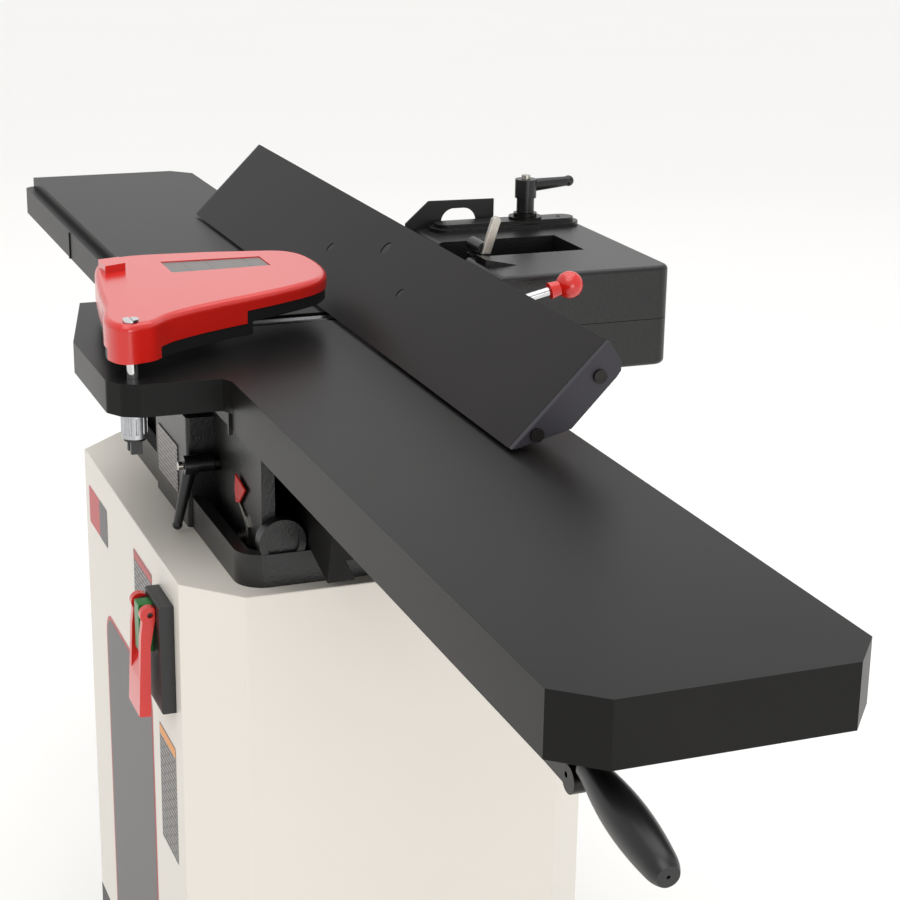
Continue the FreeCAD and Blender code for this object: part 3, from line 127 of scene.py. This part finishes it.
def eased(node, name, width_mm, material):
    """A part with its sharp edges eased, as castings, mouldings and folds have them.

    It stands for the CAD part.
    """
    shape = bmesh.new()
    shape.from_mesh(frame["nodes"][node].data)
    bmesh.ops.remove_doubles(shape, verts=shape.verts, dist=SAME_POINT)
    bmesh.ops.dissolve_limit(shape, angle_limit=FLAT_WITHIN, verts=shape.verts, edges=shape.edges)
    edges = [e for e in shape.edges
             if len(e.link_faces) == 2 and e.calc_face_angle(0) > SHARP_OVER]
    bmesh.ops.bevel(shape, geom=edges, offset=width_mm / 1000, offset_type="OFFSET", segments=2,
                    profile=0.5, affect="EDGES", clamp_overlap=True, material=-1)
    piece = as_piece(shape, name, material)
    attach(piece, frame["nodes"][node]["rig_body"])
    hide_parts(node)
    return piece


def as_piece(shape, name, material):
    """Turns a finished shape into an object at the origin, smooth except at its real edges."""
    mesh = bpy.data.meshes.new(name)
    shape.to_mesh(mesh)
    shape.free()
    mesh.shade_smooth()
    mesh.set_sharp_from_angle(angle=SMOOTH_UNDER)
    mesh.materials.append(material)
    piece = bpy.data.objects.new(name, mesh)
    bpy.context.scene.collection.objects.link(piece)
    even_faces = piece.modifiers.new("even faces", "WEIGHTED_NORMAL")
    even_faces.keep_sharp = True
    return piece


powder_coat = finish("warm white powder coat", "#ddd7cd", "#e4dfd6", 400, 2.5, 0.02,
                     {"Roughness": 0.42, "IOR": 1.5})
eased("cabinet_shell", "cabinet_sheet", 1.6, powder_coat)
eased("access_panel", "access_door", 0.6, powder_coat)

# The lower band of the stand, the motor shelf, the dust port and the sheet guard are painted satin black.
# The paint is thin, so bends catch a soft light and the flat faces stay dull.
black_paint = finish("satin black paint", "#151515", "#1c1b1b", 120, 1.5, 0.03,
                     {"Roughness": 0.45, "IOR": 1.5})
eased("cabinet_plinth", "stand_band", 1.2, black_paint)
dress("dust_port", black_paint)
dress("motor_shelf", black_paint)
eased("rear_guard_plate", "rear_guard_sheet", 0.5, black_paint)

# Screws, the chip duct, the depth pointer's strip and the stop lever are zinc plated steel.
# Plating is bright and slightly yellow, with a fine drawn grain.
zinc_plate = finish("zinc plated steel", "#a8a59c", "#c9c6bd", 6, 0.8, 0.01,
                    {"Roughness": 0.3, "Metallic": 1.0})
for part_name in ("panel_screws", "chip_chute", "depth_pointer", "lock_handle_screw",
                  "carriage_lever_screw"):
    dress(part_name, zinc_plate)
eased("stop_lever", "stop_arm_plate", 0.8, zinc_plate)


# The printed foils on the cabinet's front: a long dark stripe edged in red, a small two-colour badge,
# and two notice foils with plain bars where words would be. Each is a thin skin stuck flat to the paint.
FOIL_THICK, FOIL_STEP = 0.0001, 0.00012


def foil(name, left, right, low, high, corner_mm, layer, material):
    """A thin foil on the cabinet's front, with rounded corners; layer counts the foils under it."""
    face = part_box("cabinet_shell")[0].y - FOIL_STEP * (layer + 1)
    shape = bmesh.new()
    bmesh.ops.create_grid(shape, x_segments=1, y_segments=1, size=0.5)
    bmesh.ops.scale(shape, vec=((right - left) / 1000, (high - low) / 1000, 1), verts=shape.verts)
    bmesh.ops.bevel(shape, geom=shape.verts[:], offset=corner_mm / 1000, offset_type="OFFSET",
                    segments=6, profile=0.5, affect="VERTICES", clamp_overlap=True, material=-1)
    raised = bmesh.ops.extrude_face_region(shape, geom=shape.faces[:])["geom"]
    raised_corners = [v for v in raised if isinstance(v, bmesh.types.BMVert)]
    bmesh.ops.translate(shape, vec=(0, 0, FOIL_THICK), verts=raised_corners)
    bmesh.ops.recalc_face_normals(shape, faces=shape.faces)
    centre = Matrix.Translation(((left + right) / 2000, face, (low + high) / 2000))
    stand_up = centre @ Matrix.Rotation(radians(90), 4, "X")
    bmesh.ops.transform(shape, matrix=stand_up, verts=shape.verts)
    piece = as_piece(shape, name, material)
    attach(piece, "stand")
    return piece


def notice(name, ground, bar, bar_mm, row_mm, turn):
    """A printed foil with rows of plain bars; turn lays the rows in the foil's own plane."""
    material = finish(name, ground, ground, 60, 1.0, 0.005, {"Roughness": 0.4})
    nodes = material.node_tree.nodes
    surface = next(n for n in nodes if n.type == "BSDF_PRINCIPLED")
    place = next(n for n in nodes if n.type == "TEX_COORD")
    upright = add_node(material, "ShaderNodeMapping", {"Rotation": turn},
                       {"Vector": place.outputs["Object"]})
    rows = add_node(material, "ShaderNodeTexBrick",
                    {"Color1": linear(bar), "Color2": linear(bar), "Mortar": linear(ground), "Scale": 1.0,
                     "Mortar Size": row_mm * 0.3 / 1000, "Mortar Smooth": 0.1, "Brick Width": bar_mm / 1000,
                     "Row Height": row_mm / 1000, "offset": 0.37}, {"Vector": upright.outputs["Vector"]})
    material.node_tree.links.new(rows.outputs["Color"], surface.inputs["Base Color"])
    return material


ON_FRONT, ON_TOP = (radians(-90), 0, 0), (0, 0, radians(90))
red_ink = finish("red foil", "#b3262a", "#bb2b2e", 80, 1.0, 0.004, {"Roughness": 0.38})
slate_ink = finish("slate grey foil", "#4b4746", "#524e4d", 200, 1.0, 0.004, {"Roughness": 0.4})
orange_ink = finish("orange foil", "#e08a1d", "#e69324", 80, 1.0, 0.004, {"Roughness": 0.38})
bars_dark = notice("notice foil, pale bars", "#3b3838", "#8f8a87", 17, 4.6, ON_FRONT)
bars_red = notice("heading foil, dark bars", "#b8312f", "#5c2422", 9, 7, ON_FRONT)
foil("stripe_edge", -119, 87, 143.5, 505, 26, 0, red_ink)
foil("stripe_ground", -115, 83, 143.5, 501, 23, 1, slate_ink)
foil("badge_red", -184, -132, 578, 618.5, 3, 0, red_ink)
foil("badge_dark", -133, -96, 578, 618.5, 3, 1, slate_ink)
foil("notice_ground", 26, 101, 566, 622.5, 2, 0, bars_dark)
foil("notice_head", 26, 101, 612.5, 622.5, 2, 1, bars_red)
foil("side_notice_ground", 115, 178, 365, 482.5, 2, 0, bars_dark)
foil("side_notice_head", 116, 177, 472.5, 481.5, 1.5, 1, orange_ink)


# ---------------------------------------------------------------- bed and drive

# The bed, the bearing blocks and the fence carriage are grey iron castings, painted black over the sand skin.
# The skin's pebbles are 1 to 3 mm across, so the gloss breaks up into small points of light.
cast_paint = finish("black paint on sand casting", "#0c0b0b", "#131211", 60, 2.4, 0.5,
                    {"Roughness": 0.34, "IOR": 1.5})
eased("base_casting", "bed_casting", 1.6, cast_paint)
eased("front_bearing_housing", "front_bearing_block", 1.2, cast_paint)
eased("rear_bearing_housing", "rear_bearing_block", 1.2, cast_paint)
eased("fence_support", "fence_support_casting", 1.2, cast_paint)
eased("fence_slide_base", "fence_slide_casting", 1.2, cast_paint)
eased("fence_carriage", "fence_carriage_casting", 1.4, cast_paint)
eased("fence_tilt_brackets", "fence_arc_brackets", 0.8, cast_paint)

# The plate on the bed's front pedestal is printed aluminium foil: a pale ground with rows of dark bars.
# It is drawn with plain bars and holds no words.
dress("label_plate", notice("printed aluminium plate", "#8d8886", "#4f4b4a", 21, 4.2, ON_FRONT))

# Bolts, shafts, levers and the cutterhead's body are machined steel, blackened in oil.
# Blackening leaves a dark brown-grey metal that still shines on turned faces.
black_oxide = finish("oil blackened steel", "#2c2b2a", "#3a3836", 8, 1.2, 0.02,
                     {"Roughness": 0.36, "Metallic": 1.0})
for part_name in ("base_bolts", "cutterhead_body", "gib_screws", "outfeed_lock_bolts", "raising_link",
                  "infeed_lock_stud", "fence_screws", "tilt_pins", "carriage_lock_stud"):
    dress(part_name, black_oxide)
eased("raising_lever", "raising_lever_bar", 1.0, black_oxide)

# Knives, gibs, races, pins and the motor's shaft are ground steel.
# Grinding leaves a bright grey with fine straight lines.
ground_steel = finish("ground steel", "#8f9093", "#b4b5b8", 4, 0.7, 0.008,
                      {"Roughness": 0.24, "Metallic": 1.0})
for part_name in ("knives", "knife_gibs", "bearings", "infeed_gib", "outfeed_gib", "link_pin", "motor_shaft"):
    dress(part_name, ground_steel)

# Pulleys and the guard's spring sleeve are turned aluminium, paler and softer than the steel round them.
turned_alloy = finish("turned aluminium", "#a9abae", "#c6c8ca", 5, 0.8, 0.012,
                      {"Roughness": 0.34, "Metallic": 1.0})
for part_name in ("cutterhead_pulley", "motor_pulley", "guard_spring_sleeve"):
    dress(part_name, turned_alloy)

# The belt is moulded rubber over cord, matt and faintly dusty. The motor is a finned casting in grey enamel.
belt_rubber = finish("belt rubber", "#131313", "#1f1e1d", 12, 1.4, 0.08, {"Roughness": 0.8})
dress("drive_belt", belt_rubber)
motor_enamel = finish("grey motor enamel", "#4a4e52", "#555a5e", 90, 2.0, 0.06, {"Roughness": 0.4})
dress("motor_body", motor_enamel)


# ---------------------------------------------------------------- tables and fence

# The two tables are ground iron castings under a satin graphite-black coating.
# The coating is dull and even, with a fine speckle and a low shine.
table_coat = finish("graphite coating on ground iron", "#131212", "#1a1918", 90, 1.7, 0.035,
                    {"Roughness": 0.36, "IOR": 1.5, "Specular IOR Level": 0.15})
eased("infeed_table", "infeed_casting", 1.3, table_coat)
eased("outfeed_table", "outfeed_casting", 1.3, table_coat)

# The fence is a long iron casting, coated as the tables are and ribbed behind.
# Moulded caps close its two ends; they are a dull purple-black.
fence_coat = finish("graphite coating on the fence", "#1b1919", "#221f1f", 90, 1.7, 0.035,
                    {"Roughness": 0.42, "IOR": 1.5, "Specular IOR Level": 0.15})
eased("fence_body", "fence_casting", 1.0, fence_coat)
cap_plastic = finish("fence cap plastic", "#25222b", "#2b2831", 50, 1.2, 0.05, {"Roughness": 0.5})
eased("fence_end_caps", "fence_caps", 0.7, cap_plastic)


# ---------------------------------------------------------------- cutter guard

# The guard is a red ABS moulding with a glossy skin, on a chromed post that turns in the table's arm.
# Its label sits in a shallow recess, and a black tray closes it from below.
red_abs = finish("gloss red ABS", "#c9180f", "#d21d13", 150, 3.0, 0.012,
                 {"Roughness": 0.26, "IOR": 1.54, "Coat Weight": 0.4, "Coat Roughness": 0.16})
dress("guard_cover", red_abs)
black_abs = finish("black ABS", "#141415", "#1a1a1b", 40, 1.3, 0.05, {"Roughness": 0.42, "IOR": 1.54})
eased("guard_skirt", "guard_tray", 1.0, black_abs)
dress("guard_spring_clip", black_abs)

# The guard's label is a thin printed foil with rows of plain grey bars, stuck in the recess in the
# shell's top. It holds no words.
LABEL_BELOW_TOP, LABEL_THICK = 0.00805, 0.00012
LABEL_CORNERS = ((-0.0635, -0.1395), (-0.0155, -0.1395), (-0.0597, -0.0435), (-0.0195, -0.0435))
label_print = notice("grey lined foil", "#4e4a48", "#8a8683", 60, 3.2, ON_TOP)
label_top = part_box("guard_cover")[1].z - LABEL_BELOW_TOP
label_shape = bmesh.new()
bmesh.ops.create_grid(label_shape, x_segments=1, y_segments=1, size=0.5)
for corner, place in zip(label_shape.verts, LABEL_CORNERS):
    corner.co = (*place, label_top)
label_back = bmesh.ops.extrude_face_region(label_shape, geom=label_shape.faces[:])["geom"]
label_corners = [v for v in label_back if isinstance(v, bmesh.types.BMVert)]
bmesh.ops.translate(label_shape, vec=(0, 0, -LABEL_THICK), verts=label_corners)
bmesh.ops.recalc_face_normals(label_shape, faces=label_shape.faces)
label_piece = as_piece(label_shape, "guard_label", label_print)
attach(label_piece, "guard")
chrome_plate = finish("bright chrome", "#c9c9ca", "#dadadb", 30, 4.0, 0.004,
                      {"Roughness": 0.07, "Metallic": 1.0})
dress("guard_post", chrome_plate)
dress("tilt_lever_rod", chrome_plate)


# ---------------------------------------------------------------- handles and switch

# Clamping handles, the raising grip and the stop barrel are black nylon, slightly glossy from the mould.
nylon = finish("black glass-filled nylon", "#0e0e0f", "#141415", 25, 0.9, 0.03,
               {"Roughness": 0.33, "IOR": 1.53})
for part_name in ("raising_grip", "stop_barrel"):
    dress(part_name, nylon)
eased("infeed_lock_handle", "table_clamp_handle", 0.8, nylon)
eased("carriage_lock_lever", "carriage_clamp_handle", 0.8, nylon)
dress("tilt_lever_knob", red_abs)
dress("pointer_tip", red_abs)

# The switch is a black box with a green start button between the cheeks of a red stop paddle.
# All three are glossy moulded ABS.
eased("switch_box", "switch_case", 0.8, black_abs)
eased("stop_paddle", "stop_flap", 1.4, red_abs)
green_abs = finish("green ABS", "#0b6b22", "#0f7a2a", 20, 2.0, 0.01, {"Roughness": 0.3, "IOR": 1.54})
eased("start_button", "start_key", 1.0, green_abs)


# ---------------------------------------------------------------- studio

# A pale floor under a wide overhead light, softer ones from the infeed end and the far wall, and an even sky.
floor_shape = bmesh.new()
bmesh.ops.create_grid(floor_shape, x_segments=2, y_segments=2, size=40)
floor_paper = finish("pale floor", "#f4f3f1", "#f6f5f3", 900, 30, 0.01, {"Roughness": 0.8})
studio_floor = as_piece(floor_shape, "studio_floor", floor_paper)


def soft_light(name, place, aim, wide, long, power):
    """A large rectangular lamp at place, turned towards aim; its power is in watts."""
    lamp = bpy.data.lights.new(name, "AREA")
    lamp.shape = "RECTANGLE"
    lamp.size, lamp.size_y, lamp.energy = wide, long, power
    holder = bpy.data.objects.new(name, lamp)
    holder.location = place
    holder.rotation_euler = (Vector(aim) - Vector(place)).to_track_quat("-Z", "Y").to_euler()
    bpy.context.scene.collection.objects.link(holder)


soft_light("overhead", (-0.6, 0.4, 3.4), (0, 0, 0.7), 3.0, 2.4, 30)
soft_light("infeed end", (4.2, 0.4, 0.9), (0, 0, 0.5), 1.8, 1.4, 26)
soft_light("far wall", (-4.2, 1.9, 2.3), (0, 0, 0.8), 4.0, 1.9, 5)
skylight = bpy.data.lights.new("skylight", "SUN")
skylight.energy, skylight.angle = 1.0, radians(50)
skylight_holder = bpy.data.objects.new("skylight", skylight)
skylight_holder.rotation_euler = Vector((0.35, -0.25, 0.9)).to_track_quat("Z", "Y").to_euler()
bpy.context.scene.collection.objects.link(skylight_holder)
sky = bpy.data.worlds.new("sky")
sky.use_nodes = True
sky.node_tree.nodes["Background"].inputs["Color"].default_value = (1, 1, 1, 1)
sky.node_tree.nodes["Background"].inputs["Strength"].default_value = 0.74
bpy.context.scene.world = sky
bpy.context.scene.view_settings.view_transform = "Standard"

# The camera stands at the infeed end, a little to the operator's side and above the tables.
eye = bpy.data.cameras.new("eye")
eye.lens, eye.sensor_width, eye.clip_end = 81.3, 36.0, 200.0
camera = bpy.data.objects.new("eye", eye)
heading, tilt = Matrix.Rotation(radians(68.72), 4, "Z"), Matrix.Rotation(radians(72.33), 4, "X")
roll = Matrix.Rotation(radians(0.89), 4, "Z")
camera.matrix_world = Matrix.Translation((1.8127, -0.5704, 1.2980)) @ (heading @ tilt) @ roll
bpy.context.scene.collection.objects.link(camera)
bpy.context.scene.camera = camera
